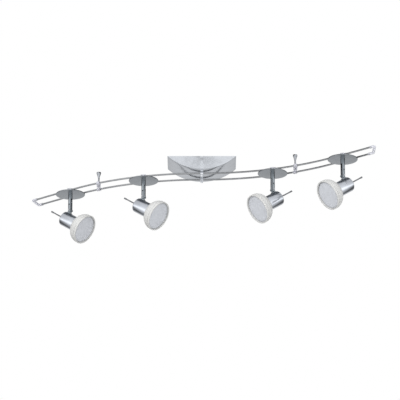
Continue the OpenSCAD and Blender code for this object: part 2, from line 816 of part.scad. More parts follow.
// Shade: a frosted bowl on the barrel's mouth, with a thicker rim that seats the front glass
module shade(i) {
    first = barrel_len + 0.5;
    outer = [for (k = [0:bowl_steps]) let (x = neck_x + (bowl_end - neck_x) * sin(90 * k / bowl_steps))
        [x, bowl_r(x)]];
    lip_x = lens_back - gap - seat_lip;
    inner = [for (k = [0:bowl_steps]) let (x = first + (lip_x - first) * sin(90 * k / bowl_steps))
        [x, min(bowl_r(min(x, bowl_end)) - bowl_wall, lens_r)]];
    color([0.90, 0.89, 0.86, 0.9])
        in_head(i)
            revolve(concat(
                [[neck_x, barrel_r + fit]], outer, [[rim_x, rim_r], [rim_x, rim_r - rim_wall]],
                [[lens_back - gap, rim_r - rim_wall], [lens_back - gap, lens_r - seat_lip],
                 [lip_x, lens_r - seat_lip]],
                [for (k = [bowl_steps:-1:0]) inner[k]],
                [[first, barrel_r + fit]]));
}

module lens(i) {
    color([0.72, 0.72, 0.78, 0.9])
        in_head(i)
            translate([lens_back, 0, 0]) rotate([0, 90, 0]) cylinder(r = lens_r, h = lens_t, $fn = 128);
}

// Aiming rod: the handle that turns the lamp without touching the hot shade
module aim_rod(i) {
    r = aim_d / 2;
    color([0.35, 0.36, 0.38])
        in_head(i)
            revolve([[aim_grip, 0], [aim_grip, r], [0, r], [0, aim_collar_r], [-2, aim_collar_r], [-2.5, r],
                     [8 - aim_len, r],
                     [7.5 - aim_len, r + 0.5], [0.6 - aim_len, r + 0.5], [-aim_len, r], [-aim_len, 0]]);
}

ceiling_bracket();
canopy();
canopy_screws();
transformer();
terminal_block();
terminal_screws();
canopy_leads();
feed_posts();
feed_bushes();
feed_clamps();
feed_knobs();
front_rod();
rear_rod();
left_end_cap();
right_end_cap();
left_standoff();
right_standoff();
standoff_clips();
rod_saddles();
saddle_screws();
for (i = [1:4]) {
    carrier_disc(i);
    stem(i);
    swivel_fasteners(i);
    tilt_tongue(i);
    barrel(i);
    lampholder(i);
    bulb(i);
    shade(i);
    lens(i);
    aim_rod(i);
}
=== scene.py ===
import json
import math

import bmesh
import bpy
from bpy.props import FloatProperty, FloatVectorProperty, IntProperty, PointerProperty
from mathutils import Matrix, Vector


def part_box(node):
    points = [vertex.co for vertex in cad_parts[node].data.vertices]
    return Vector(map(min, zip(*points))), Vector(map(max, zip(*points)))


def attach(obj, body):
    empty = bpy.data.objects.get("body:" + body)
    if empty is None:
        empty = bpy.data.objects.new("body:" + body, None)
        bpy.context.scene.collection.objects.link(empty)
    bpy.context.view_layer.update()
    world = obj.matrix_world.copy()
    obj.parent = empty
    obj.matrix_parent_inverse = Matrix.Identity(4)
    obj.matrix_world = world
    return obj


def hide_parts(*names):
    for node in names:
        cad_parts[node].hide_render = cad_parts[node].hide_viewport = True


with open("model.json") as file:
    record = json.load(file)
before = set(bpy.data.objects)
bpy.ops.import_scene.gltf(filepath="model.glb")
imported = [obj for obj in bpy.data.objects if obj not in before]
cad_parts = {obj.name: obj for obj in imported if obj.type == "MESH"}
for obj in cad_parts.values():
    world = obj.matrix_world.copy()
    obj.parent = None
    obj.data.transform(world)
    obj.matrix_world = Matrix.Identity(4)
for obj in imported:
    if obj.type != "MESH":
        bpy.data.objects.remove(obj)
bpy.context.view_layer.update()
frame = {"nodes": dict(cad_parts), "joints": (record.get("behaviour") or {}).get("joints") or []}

bl_info = {
    "name": "Rail Spotlight",
    "version": (1, 0, 0),
    "blender": (4, 5, 0),
    "location": "View3D > Sidebar > Rail Light",
    "description": "Builds the visible pieces of a two-rod ceiling rail light round its frame",
    "category": "Add Mesh",
}

JOINTS = {joint["name"]: joint for joint in frame["joints"]}
LAMPS = (1, 2, 3, 4)
TINY = 1e-6
WELD = 5e-6                         # how near the corners of a frame node's triangles are merged
FLAT_ANGLE = math.radians(0.6)      # below it two faces are one
SMOOTH_ANGLE = math.radians(33)     # below it an edge is shaded smooth
SOFT_ANGLE = math.radians(38)       # above it an edge is softened


def node_centre(node):
    low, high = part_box(node)
    return (low + high) / 2


def node_size(node):
    low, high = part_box(node)
    return high - low


# ---------------------------------------------------------------------------
# Sizes and colours that a user would change
# ---------------------------------------------------------------------------

def length(name, description, default):
    return FloatProperty(name=name, description=description, default=default, unit="LENGTH", precision=5)


def colour(name, description, default):
    return FloatVectorProperty(name=name, description=description, default=default, subtype="COLOR",
                               size=3, min=0.0, max=1.0)


class RailSizes(bpy.types.PropertyGroup):
    rod_radius: length("Rod radius", "Radius of each conductor rod", node_size("rear_rod").z / 2)
    bend_tight: length("Tight bend", "Radius of the bends next to the canopy", 0.507)
    bend_middle: length("Middle bend", "Radius of the middle bends", 0.516)
    bend_slack: length("Slack bend", "Radius of the bends at the rail's ends", 3.0)
    bend_angle: FloatProperty(name="Bend angle", description="Turn of each of the first two bends",
                              default=math.radians(18.9), subtype="ANGLE")
    left: length("Left length", "Length of the rear rod left of the canopy's middle", 0.463)
    right: length("Right length", "Length of the rear rod right of the canopy's middle", 0.465)
    front_extra_left: length("Front extra left", "How much longer the front rod is at the left", 0.017)
    front_extra_right: length("Front extra right", "How much longer the front rod is at the right", 0.001)
    rod_gap: length("Rod gap", "Distance between the two rods", 0.0465)
    cap_width: length("Cap width", "Width of an end cap's limbs", 0.007)
    cap_grip: length("Cap grip", "How far a rod goes into its end cap", 0.005)
    cap_reach: length("Cap reach", "How far an end cap goes past the end of a rod", 0.013)
    station_1: length("Left standoff", "Station of the left standoff along the rail", -0.273)
    station_2: length("Right standoff", "Station of the right standoff along the rail", 0.241)


class CanopySizes(bpy.types.PropertyGroup):
    width: length("Width", "Width of the canopy along the rail", node_size("canopy").x)
    depth: length("Depth", "Depth of the canopy across the rail", node_size("canopy").y)
    height: length("Height", "Height of the vault", node_size("canopy").z)
    wall: length("Wall", "Thickness of the sheet", 0.0012)
    edge: length("Edge", "Radius of the softened edges", 0.0011)


class LampSizes(bpy.types.PropertyGroup):
    barrel_radius: length("Barrel radius", "Radius of the barrel", 0.01825)
    barrel_length: length("Barrel length", "Length of the barrel", 0.046)
    hinge_gap: length("Hinge gap", "Gap between the stem's lower end and the barrel", 0.0018)
    hinge_ahead: length("Hinge ahead", "Distance of the hinge in front of the barrel's rear face", 0.0057)
    shade_radius: length("Shade radius", "Outer radius of the shade's rim", 0.03825)
    shade_length: length("Shade length", "Length of the shade from its neck to its rim", 0.0315)
    rim_band: length("Rim band", "Length of the straight band at the rim", 0.0057)
    rim_wall: length("Rim wall", "Thickness of the shade at the rim", 0.0029)
    bowl_wall: length("Bowl wall", "Thickness of the bowl", 0.0016)
    neck_lap: length("Neck lap", "How far the shade's neck laps over the barrel", 0.0025)
    lens_thickness: length("Lens thickness", "Thickness of the front glass", 0.0025)
    lens_recess: length("Lens recess", "Depth of the front glass behind the rim", 0.0025)
    aim_radius: length("Aiming rod radius", "Radius of the aiming rod", 0.0016)
    aim_length: length("Aiming rod length", "Length of the aiming rod behind the barrel", 0.043)
    stem_radius: length("Stem radius", "Radius of a lamp stem", 0.0055)
    segments: IntProperty(name="Segments", description="Divisions round a turned piece", default=96, min=24)


class FinishColours(bpy.types.PropertyGroup):
    canopy: colour("Canopy chrome", "Polished sheet of the canopy", (0.56, 0.575, 0.60))
    disc: colour("Disc chrome", "Satin chrome of the carrier discs", (0.305, 0.32, 0.335))
    # painted highlight: this chrome is made brighter than the canopy and stem chrome, standing in for the
    # light the clamps catch
    clamp: colour("Clamp chrome", "Polished chrome of the feed clamps", (0.80, 0.81, 0.83))
    stem: colour("Stem chrome", "Polished chrome of the stems", (0.34, 0.37, 0.39))
    barrel: colour("Barrel chrome", "Satin chrome of the barrels", (0.60, 0.62, 0.66))
    rod: colour("Rod", "Nickel plate of the rods", (0.385, 0.39, 0.395))
    aim: colour("Aiming rod", "Dark plate of the aiming rods", (0.27, 0.275, 0.285))
    steel: colour("Small steel", "Screws and nuts", (0.50, 0.51, 0.53))
    zinc: colour("Zinc plate", "Ceiling bracket", (0.48, 0.49, 0.46))
    brass: colour("Brass", "Posts and terminal screws", (0.62, 0.47, 0.20))
    shade: colour("Frosted shade", "Frosted bowl", (0.70, 0.695, 0.68))
    lens: colour("Front glass", "Frosted front glass", (0.70, 0.715, 0.755))
    clear: colour("Clear plastic", "Clips, saddles and end caps", (0.82, 0.82, 0.88))
    white_plastic: colour("White plastic", "Bushes and terminal block", (0.72, 0.71, 0.67))
    grey_plastic: colour("Grey plastic", "Transformer case", (0.60, 0.60, 0.58))
    ceramic: colour("Ceramic", "Lampholder", (0.76, 0.74, 0.67))


class StageSizes(bpy.types.PropertyGroup):
    lens: FloatProperty(name="Lens", description="Focal length in millimetres", default=270.0)
    distance: length("Distance", "Distance from the camera to the rail", 7.5)
    elevation: FloatProperty(name="Elevation", description="Height of the camera above the rail's level",
                             default=math.radians(-19.5), subtype="ANGLE")
    aim: FloatVectorProperty(name="Aim", description="Point at the middle of the view",
                             default=(-0.0045, 0.0199, -0.0921), subtype="TRANSLATION", unit="LENGTH",
                             size=3, precision=5)
    floor_drop: length("Floor drop", "Depth of the floor below the ceiling", 2.9)


def rail_sizes():
    return bpy.context.scene.rail_light_rail


def canopy_sizes():
    return bpy.context.scene.rail_light_canopy


def lamp_sizes():
    return bpy.context.scene.rail_light_lamp


def finish_colours():
    return bpy.context.scene.rail_light_colours


# ---------------------------------------------------------------------------
# Finishes
# ---------------------------------------------------------------------------

class Nodes:
    """A node tree, with short ways to add nodes to it and link them."""

    def __init__(self, tree):
        self.tree = tree

    def node(self, kind, **settings):
        made = self.tree.nodes.new(kind)
        for name, value in settings.items():
            setattr(made, name, value)
        return made

    def link(self, source, target):
        self.tree.links.new(source, target)

    def spread(self, value, low, high, start=0.3, end=0.7, **settings):
        """Maps a value from start..end to low..high."""
        made = self.node("ShaderNodeMapRange", **settings)
        made.inputs["From Min"].default_value = start
        made.inputs["From Max"].default_value = end
        made.inputs["To Min"].default_value = low
        made.inputs["To Max"].default_value = high
        self.link(value, made.inputs["Value"])
        return made.outputs["Result"]

    def ramp(self, value, stops):
        """A colour for a value, from (position, colour) stops."""
        made = self.node("ShaderNodeValToRGB")
        elements = made.color_ramp.elements
        while len(elements) < len(stops):
            elements.new(0.5)
        for element, (position, shade) in zip(elements, stops):
            element.position = position
            element.color = (*shade, 1.0)
        self.link(value, made.inputs["Fac"])
        return made.outputs["Color"]


class Finish(Nodes):
    """A Principled material, with helpers that feed its sockets."""

    def __init__(self, name, base, roughness, metallic=0.0, **sockets):
        self.material = bpy.data.materials.new(name)
        self.material.use_nodes = True
        super().__init__(self.material.node_tree)
        self.shader = self.tree.nodes["Principled BSDF"]
        self.shader.inputs["Base Color"].default_value = (*base, 1.0)
        self.shader.inputs["Roughness"].default_value = roughness
        self.shader.inputs["Metallic"].default_value = metallic
        for socket, value in sockets.items():
            self.shader.inputs[socket.replace("_", " ")].default_value = value
        self.base = base

    def place(self, scale=(1, 1, 1), local=False):
        """Object coordinates, or the piece's own as it was before it was put in place, scaled."""
        if local:
            source = self.node("ShaderNodeAttribute", attribute_name="local").outputs["Vector"]
        else:
            source = self.node("ShaderNodeTexCoord").outputs["Object"]
        mapping = self.node("ShaderNodeMapping")
        mapping.inputs["Scale"].default_value = scale
        self.link(source, mapping.inputs["Vector"])
        return mapping.outputs["Vector"]

    def turned(self, scale):
        """A vector that only changes with the radius and along local X, as marks from a lathe do."""
        parts = self.node("ShaderNodeSeparateXYZ")
        self.link(self.place(local=True), parts.inputs["Vector"])
        flat = self.node("ShaderNodeCombineXYZ")
        self.link(parts.outputs["Y"], flat.inputs["Y"])
        self.link(parts.outputs["Z"], flat.inputs["Z"])
        radius = self.node("ShaderNodeVectorMath", operation="LENGTH")
        self.link(flat.outputs["Vector"], radius.inputs[0])
        both = self.node("ShaderNodeCombineXYZ")
        self.link(parts.outputs["X"], both.inputs["X"])
        self.link(radius.outputs["Value"], both.inputs["Y"])
        mapping = self.node("ShaderNodeMapping")
        mapping.inputs["Scale"].default_value = (scale, scale, 1)
        self.link(both.outputs["Vector"], mapping.inputs["Vector"])
        return mapping.outputs["Vector"]

    def noise(self, vector, scale, detail=4.0, roughness=0.55):
        made = self.node("ShaderNodeTexNoise")
        made.inputs["Scale"].default_value = scale
        made.inputs["Detail"].default_value = detail
        made.inputs["Roughness"].default_value = roughness
        self.link(vector, made.inputs["Vector"])
        return made.outputs["Fac"]

    def tint(self, value, dark, light, start=0.3, end=0.7):
        """Base colour from dark to light times the finish's own colour."""
        stops = ((start, [c * dark for c in self.base]),
                 (end, [min(1.0, c * light) for c in self.base]))
        self.link(self.ramp(value, stops), self.shader.inputs["Base Color"])

    def rough(self, value, low, high, start=0.3, end=0.7):
        self.link(self.spread(value, low, high, start, end), self.shader.inputs["Roughness"])

    def bump(self, value, strength, distance):
        made = self.node("ShaderNodeBump")
        made.inputs["Strength"].default_value = strength
        made.inputs["Distance"].default_value = distance
        self.link(value, made.inputs["Height"])
        earlier = self.shader.inputs["Normal"].links
        if earlier:
            self.link(earlier[0].from_socket, made.inputs["Normal"])
        self.link(made.outputs["Normal"], self.shader.inputs["Normal"])


def polished_chrome(name, base, roughness=0.07):
    """Mirror chrome with faint wipe marks and slightly cloudy plating."""
    made = Finish(name, base, roughness, metallic=1.0)
    cloud = made.noise(made.place(), 26.0, 5.0)
    made.tint(cloud, 0.94, 1.05)
    wipe = made.noise(made.place(scale=(1.0, 9.0, 1.0)), 60.0, 6.0)
    made.rough(wipe, roughness * 0.7, roughness * 1.9)
    made.bump(made.noise(made.place(), 900.0, 2.0), 0.02, 0.0002)
    return made.material


def brushed_sheet(name, base, roughness):
    """Sheet with fine straight brushing along X."""
    made = Finish(name, base, roughness, metallic=1.0)
    lines = made.noise(made.place(scale=(2.0, 160.0, 160.0)), 14.0, 6.0, 0.6)
    cloud = made.noise(made.place(), 18.0, 4.0)
    made.tint(cloud, 0.93, 1.05)
    made.rough(lines, roughness * 0.75, roughness * 1.35)
    made.bump(lines, 0.05, 0.0002)
    return made.material


def turned_satin(name, base, roughness):
    """Satin plate over fine lathe marks, a little darker in patches."""
    made = Finish(name, base, roughness, metallic=1.0)
    rings = made.noise(made.turned(2600.0), 1.0, 3.0, 0.7)
    cloud = made.noise(made.place(), 34.0, 5.0)
    made.tint(cloud, 0.90, 1.07)
    made.rough(rings, roughness * 0.8, roughness * 1.3)
    made.bump(rings, 0.10, 0.0001)
    return made.material


def drawn_rod(name, base, roughness):
    """Drawn rod: long faint streaks and patchy plating."""
    made = Finish(name, base, roughness, metallic=1.0)
    cloud = made.noise(made.place(), 70.0, 5.0)
    made.tint(cloud, 0.88, 1.08)
    streak = made.noise(made.place(scale=(6.0, 160.0, 160.0)), 10.0, 4.0)
    made.rough(streak, roughness * 0.8, roughness * 1.4)
    made.bump(streak, 0.05, 0.0001)
    return made.material


def worn_metal(name, base, roughness):
    """Small screws and nuts: patchy, and finely scratched by handling."""
    made = Finish(name, base, roughness, metallic=1.0)
    made.tint(made.noise(made.place(), 140.0, 4.0), 0.82, 1.10)
    made.rough(made.noise(made.place(), 420.0, 3.0), roughness * 0.8, roughness * 1.5)
    made.bump(made.noise(made.place(), 1600.0, 2.0), 0.10, 0.0001)
    return made.material


def frosted_shade(name, base):
    """Etched glass: lets a little light through, with a fine sugary surface and a cloudy colour."""
    made = Finish(name, base, 0.46, Transmission_Weight=0.16, IOR=1.46, Specular_IOR_Level=0.45)
    cloud = made.noise(made.place(local=True), 40.0, 5.0)
    made.tint(cloud, 0.955, 1.03)
    made.rough(made.noise(made.place(local=True), 700.0, 3.0), 0.40, 0.56)
    made.bump(made.noise(made.place(local=True), 2600.0, 2.0), 0.06, 0.0001)
    return made.material


# Painted shade: how much the front glass's colour is darkened at each part of its radius, most at its edge
# in the rim's recess
LENS_PAINTED_SHADE = ((0.0, 1.00), (0.78, 0.99), (0.90, 0.95), (0.965, 0.84), (1.0, 0.74))
LENS_PAINTED_SHADE_RADIUS = 0.0345


def frosted_lens(name, base):
    """Front glass: slightly cloudy, with painted shade that darkens its colour towards its ground edge,
    where the rim's recess shades it.
    """
    made = Finish(name, base, 0.34, Transmission_Weight=0.10, IOR=1.50, Specular_IOR_Level=0.5)
    parts = made.node("ShaderNodeSeparateXYZ")
    made.link(made.turned(1.0), parts.inputs["Vector"])
    radius = made.spread(parts.outputs["Y"], 0.0, 1.0, 0.0, LENS_PAINTED_SHADE_RADIUS)
    # painted shade: the colour is darkened towards the edge, where the rim's recess would shade it
    painted_shade = made.ramp(radius, [(part, [c * level for c in base]) for part, level in LENS_PAINTED_SHADE])
    cloud = made.noise(made.place(local=True), 90.0, 5.0)
    blend = made.node("ShaderNodeMix", data_type="RGBA", blend_type="MULTIPLY")
    blend.inputs["Factor"].default_value = 1.0
    made.link(painted_shade, blend.inputs["A"])
    shade = made.node("ShaderNodeCombineColor")
    for socket in ("Red", "Green", "Blue"):
        made.link(made.spread(cloud, 0.93, 1.0), shade.inputs[socket])
    made.link(shade.outputs["Color"], blend.inputs["B"])
    made.link(blend.outputs["Result"], made.shader.inputs["Base Color"])
    made.rough(cloud, 0.28, 0.42)
    made.bump(made.noise(made.place(local=True), 1300.0, 2.0), 0.06, 0.0001)
    return made.material


def clear_plastic(name, base):
    """Half clear plastic, a little cloudy."""
    made = Finish(name, base, 0.25, Transmission_Weight=0.50, IOR=1.49)
    made.tint(made.noise(made.place(), 60.0, 4.0), 0.93, 1.04)
    made.rough(made.noise(made.place(), 240.0, 4.0), 0.18, 0.32)
    made.bump(made.noise(made.place(), 300.0, 2.0), 0.05, 0.0002)
    return made.material


def clear_glass(name):
    """The capsule's glass: clear, with faintly duller patches."""
    made = Finish(name, (0.95, 0.96, 0.97), 0.04, Transmission_Weight=0.9, IOR=1.46)
    made.rough(made.noise(made.place(), 300.0, 3.0), 0.02, 0.08)
    return made.material


def moulded(name, base, roughness=0.5):
    """Moulded plastic with a fine spark-eroded grain."""
    made = Finish(name, base, roughness, IOR=1.5)
    made.tint(made.noise(made.place(), 50.0, 5.0), 0.94, 1.04)
    made.rough(made.noise(made.place(), 500.0, 3.0), roughness * 0.85, roughness * 1.15)
    made.bump(made.noise(made.place(), 900.0, 3.0), 0.12, 0.0002)
    return made.material


def glazed(name, base):
    """Ceramic under a thin glaze."""
    made = Finish(name, base, 0.3, IOR=1.55, Coat_Weight=0.4, Coat_Roughness=0.12)
    made.tint(made.noise(made.place(), 90.0, 5.0), 0.90, 1.04)
    made.rough(made.noise(made.place(), 600.0, 3.0), 0.24, 0.42)
    made.bump(made.noise(made.place(), 1200.0, 3.0), 0.10, 0.0001)
    return made.material


def make_finishes():
    colours = finish_colours()
    return {
        "canopy": polished_chrome("canopy chrome", colours.canopy, 0.13),
        "disc": turned_satin("disc satin chrome", colours.disc, 0.24),
        "stem": polished_chrome("stem chrome", colours.stem, 0.06),
        "barrel": turned_satin("barrel satin chrome", colours.barrel, 0.15),
        "rod": drawn_rod("rod nickel", colours.rod, 0.26),
        "aim": drawn_rod("aiming rod plate", colours.aim, 0.25),
        "steel": worn_metal("small steel", colours.steel, 0.26),
        "grub": worn_metal("blackened steel", (0.045, 0.045, 0.05), 0.35),
        "zinc": brushed_sheet("zinc plate", colours.zinc, 0.42),
        "brass": worn_metal("brass", colours.brass, 0.28),
        "shade": frosted_shade("frosted bowl", colours.shade),
        "lens": frosted_lens("frosted front glass", colours.lens),
        "clear": clear_plastic("clear plastic", colours.clear),
        "capsule": clear_glass("capsule glass"),
        "white": moulded("white plastic", colours.white_plastic),
        "grey": moulded("grey plastic", colours.grey_plastic, 0.55),
        "sleeve": moulded("lead sleeve", (0.035, 0.035, 0.04), 0.38),
        "ceramic": glazed("lampholder ceramic", colours.ceramic),
        # painted highlight: a brighter copy of the polished chrome, standing in for the light the clamps
        # catch
        "clamp": polished_chrome("clamp chrome", colours.clamp, 0.12),
        "standoff": turned_satin("standoff satin nickel", (0.36, 0.37, 0.39), 0.26),
    }


FINISHES = {}


def finish(name):
    if not FINISHES:
        FINISHES.update(make_finishes())
    return FINISHES[name]


# ---------------------------------------------------------------------------
# Mesh helpers
# ---------------------------------------------------------------------------

def tidy(bm):
    bmesh.ops.remove_doubles(bm, verts=bm.verts, dist=TINY)
    bmesh.ops.recalc_face_normals(bm, faces=bm.faces)


def soften(bm, width, segments=3, angle=SOFT_ANGLE, edges=None):
    """Rounds the given edges, or every edge that turns by more than angle."""
    chosen = sharp_edges(bm, angle) if edges is None else edges
    if chosen:
        bmesh.ops.bevel(bm, geom=chosen, offset=width, offset_type="OFFSET", segments=segments,
                        profile=0.5, affect="EDGES", clamp_overlap=True, material=-1)


def turn(profile, segments, closed=False):
    """A solid turned about local X from (along, radius) points, or a ring if the profile is closed."""
    bm = bmesh.new()
    verts = [bm.verts.new((along, 0.0, radius)) for along, radius in profile]
    pairs = list(zip(verts, verts[1:]))
    if closed:
        pairs.append((verts[-1], verts[0]))
    edges = [bm.edges.new(pair) for pair in pairs]
    bmesh.ops.spin(bm, geom=verts + edges, cent=(0, 0, 0), axis=(1, 0, 0), angle=2 * math.pi,
                   steps=segments, use_merge=True)
    tidy(bm)
    return bm


def block(size, centre):
    bm = bmesh.new()
    bmesh.ops.create_cube(bm, size=1.0)
    bmesh.ops.scale(bm, vec=size, verts=bm.verts)
    bmesh.ops.translate(bm, vec=centre, verts=bm.verts)
    return bm


def cylinder(radius, height, segments, centre):
    """An upright cylinder."""
    bm = bmesh.new()
    bmesh.ops.create_cone(bm, cap_ends=True, segments=segments, radius1=radius, radius2=radius,
                          depth=height)
    bmesh.ops.translate(bm, vec=centre, verts=bm.verts)
    return bm


def join(target, other):
    """Adds another shape to the target."""
    mesh = bpy.data.meshes.new("part")
    other.to_mesh(mesh)
    other.free()
    target.from_mesh(mesh)
    bpy.data.meshes.remove(mesh)


def moved(bm, matrix):
    """Moves a shape, and returns it."""
    bmesh.ops.transform(bm, matrix=matrix, verts=bm.verts)
    return bm


def loop_of(verts):
    """The edges between a ring's vertices."""
    return list(dict.fromkeys(e for v in verts for e in v.link_edges))


def edges_of(geom):
    """The edges among what an operator returned."""
    return [g for g in geom if isinstance(g, bmesh.types.BMEdge)]


def sharp_edges(bm, angle):
    """The edges between two faces that turn by more than angle."""
    return [e for e in bm.edges if e.is_manifold and e.calc_face_angle(0.0) > angle]


def draw_on(bm, loop, step):
    """Extrudes a loop of edges by step, and returns the new loop."""
    done = bmesh.ops.extrude_edge_only(bm, edges=loop)["geom"]
    bmesh.ops.translate(bm, vec=step, verts=[g for g in done if isinstance(g, bmesh.types.BMVert)])
    return [e for e in edges_of(done) if all(v in done for v in e.verts)]


def add_object(name, bm, material):
    """Makes a shape an object of the scene."""
    mesh = bpy.data.meshes.new(name)
    bm.to_mesh(mesh)
    bm.free()
    mesh.materials.append(material)
    made = bpy.data.objects.new(name, mesh)
    bpy.context.scene.collection.objects.link(made)
    return made


def piece(name, bm, body, look, replaces, place=None):
    """Makes the finished object. Its own coordinates are kept before it is put in place."""
    layer = bm.verts.layers.float_vector.new("local")
    for v in bm.verts:
        v[layer] = v.co
    if place is not None:
        moved(bm, place)
    made = add_object(name, bm, finish(look))
    made.data.shade_smooth()
    made.data.set_sharp_from_angle(angle=SMOOTH_ANGLE)
    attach(made, body)
    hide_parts(*replaces)
    return made


def dressed(name, node, body, look, width, segments=2):
    """A copy of a frame node, welded, with its edges softened."""
    bm = bmesh.new()
    bm.from_mesh(frame["nodes"][node].data)
    bmesh.ops.remove_doubles(bm, verts=bm.verts, dist=WELD)
    bmesh.ops.dissolve_limit(bm, angle_limit=FLAT_ANGLE, verts=bm.verts, edges=bm.edges)
    made = piece(name, bm, body, look, [node])
    bevel = made.modifiers.new("edge", "BEVEL")
    bevel.width = width
    bevel.segments = segments
    bevel.limit_method = "ANGLE"
    bevel.angle_limit = math.radians(40)
    bevel.harden_normals = True
    return made


def shift(x=0.0, y=0.0, z=0.0):
    return Matrix.Translation((x, y, z))


def rotation(angle, axis):
    return Matrix.Rotation(angle, 4, axis)


UPRIGHT = rotation(-math.pi / 2, "Y")    # local X to +Z


# ---------------------------------------------------------------------------
# Where the rail runs
# ---------------------------------------------------------------------------

ROD_STEP = 0.006    # length of a rod between two of its rings


def bend_radii():
    rail = rail_sizes()
    return (rail.bend_tight, rail.bend_middle, rail.bend_slack)


def bend_starts():
    """Station, point and heading at the start of each bend right of the canopy's middle."""
    angle = rail_sizes().bend_angle
    station, point, rows = 0.0, Vector((0, 0, 0)), []
    for k, radius in enumerate(bend_radii()):
        rows.append((station, point.copy(), k * angle))
        a, b = k * angle, (k + 1) * angle
        point += radius * Vector((math.sin(b) - math.sin(a), math.cos(b) - math.cos(a), 0))
        station += radius * angle
    return rows


def rail_at(station):
    """Middle of the rail at a station, and the angle that the rods turn to there."""
    away = abs(station)
    rows = bend_starts()
    k = max(i for i, row in enumerate(rows) if away >= row[0] - TINY)
    first, point, heading = rows[k]
    radius = bend_radii()[k]
    last = heading + (away - first) / radius
    point = point + radius * Vector((math.sin(last) - math.sin(heading),
                                     math.cos(last) - math.cos(heading), 0))
    return (point if station >= 0 else -point), -last


def rod_level():
    return node_centre("rear_rod").z


def half_rod(rail_length, radius, out):
    """One half of a rod, swept along its bends from the canopy's middle; out is 1 or -1."""
    bm = bmesh.new()
    ring = bmesh.ops.create_circle(bm, segments=24, radius=radius, matrix=rotation(math.pi / 2, "Y"))
    geom = ring["verts"] + loop_of(ring["verts"])
    rows = bend_starts()
    for (first, point, heading), bend in zip(rows, bend_radii()):
        angle = rail_sizes().bend_angle
        if first == rows[-1][0]:
            angle = (rail_length - first) / bend
        centre = point - bend * Vector((math.sin(heading), math.cos(heading), 0))
        done = bmesh.ops.spin(bm, geom=geom, cent=centre, axis=(0, 0, -1), angle=angle,
                              steps=max(8, round(bend * angle / ROD_STEP)))
        geom = done["geom_last"]
    bmesh.ops.contextual_create(bm, geom=edges_of(geom))
    return moved(bm, rotation(0.0 if out > 0 else math.pi, "Z"))


# ---------------------------------------------------------------------------
# Canopy
# ---------------------------------------------------------------------------

class RAIL_OT_canopy(bpy.types.Operator):
    """Build the vaulted canopy and its side screws"""
    bl_idname = "rail_light.canopy"
    bl_label = "Canopy"

    def execute(self, context):
        canopy = canopy_sizes()
        vault = (canopy.width ** 2 / 4 + canopy.height ** 2) / (2 * canopy.height)    # radius of its arc
        half_turn = math.asin(canopy.width / 2 / vault)
        centre = Vector((0, 0, vault - canopy.height))
        across, along = 12, 64
        bm = bmesh.new()
        row = [bm.verts.new((-vault * math.sin(half_turn), (i / across - 0.5) * canopy.depth,
                             centre.z - vault * math.cos(half_turn))) for i in range(across + 1)]
        edges = [bm.edges.new(pair) for pair in zip(row, row[1:])]
        bmesh.ops.spin(bm, geom=row + edges, cent=centre, axis=(0, -1, 0), angle=2 * half_turn,
                       steps=along)
        for side in (-1, 1):
            rim = [e for e in bm.edges if e.is_boundary
                   and all(abs(v.co.y - side * canopy.depth / 2) < TINY for v in e.verts)]
            bmesh.ops.contextual_create(bm, geom=rim)
        tidy(bm)
        for face in bm.faces:
            if face.calc_center_median().z > -TINY and abs(face.normal.z) > 0.99:
                bm.faces.remove(face)
        soften(bm, canopy.edge, segments=5, edges=sharp_edges(bm, math.radians(50)))
        bmesh.ops.solidify(bm, geom=list(bm.faces), thickness=canopy.wall)
        for v in bm.verts:
            v.co.z = min(v.co.z, 0.0)
        piece("canopy_shell", bm, "base", "canopy", ["canopy"])
        dressed("canopy_screw_pair", "canopy_screws", "base", "steel", 0.0003)
        return {"FINISHED"}


# ---------------------------------------------------------------------------
# What the canopy hides
# ---------------------------------------------------------------------------

class RAIL_OT_inside(bpy.types.Operator):
    """Build the bracket, the transformer and the wiring inside the canopy"""
    bl_idname = "rail_light.inside"
    bl_label = "Inside the canopy"

    def execute(self, context):
        dressed("bracket_sheet", "ceiling_bracket", "base", "zinc", 0.00025)
        dressed("terminal_body", "terminal_block", "base", "white", 0.0002)
        dressed("terminal_screw_set", "terminal_screws", "base", "brass", 0.0001)
        dressed("feed_post_pair", "feed_posts", "base", "brass", 0.0002)
        dressed("feed_bush_pair", "feed_bushes", "base", "white", 0.0002)
        dressed("lead_set", "canopy_leads", "base", "sleeve", 0.0001)
        self.transformer()
        return {"FINISHED"}

    def transformer(self):
        low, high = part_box("transformer")
        size, middle = high - low, (low + high) / 2
        bm = block(size, middle)
        upright = [e for e in bm.edges
                   if abs(e.verts[0].co.z - e.verts[1].co.z) > size.z * 0.9]
        soften(bm, 0.0025, segments=4, edges=upright)
        soften(bm, 0.0006, segments=2, angle=math.radians(60))
        ribs, rib_width, rib_height, rib_margin = 7, 0.0012, 0.0006, 0.003
        for i in range(ribs):
            x = low.x + size.x * (i + 1) / (ribs + 1)
            join(bm, block((rib_width, size.y - 2 * rib_margin, rib_height),
                           (x, middle.y, low.z - rib_height / 3)))
        piece("transformer_case", bm, "base", "grey", ["transformer"])


# ---------------------------------------------------------------------------
# Rail
# ---------------------------------------------------------------------------

# Radius of an end cap's corners, as a part of its width
CAP_BEND = 0.52


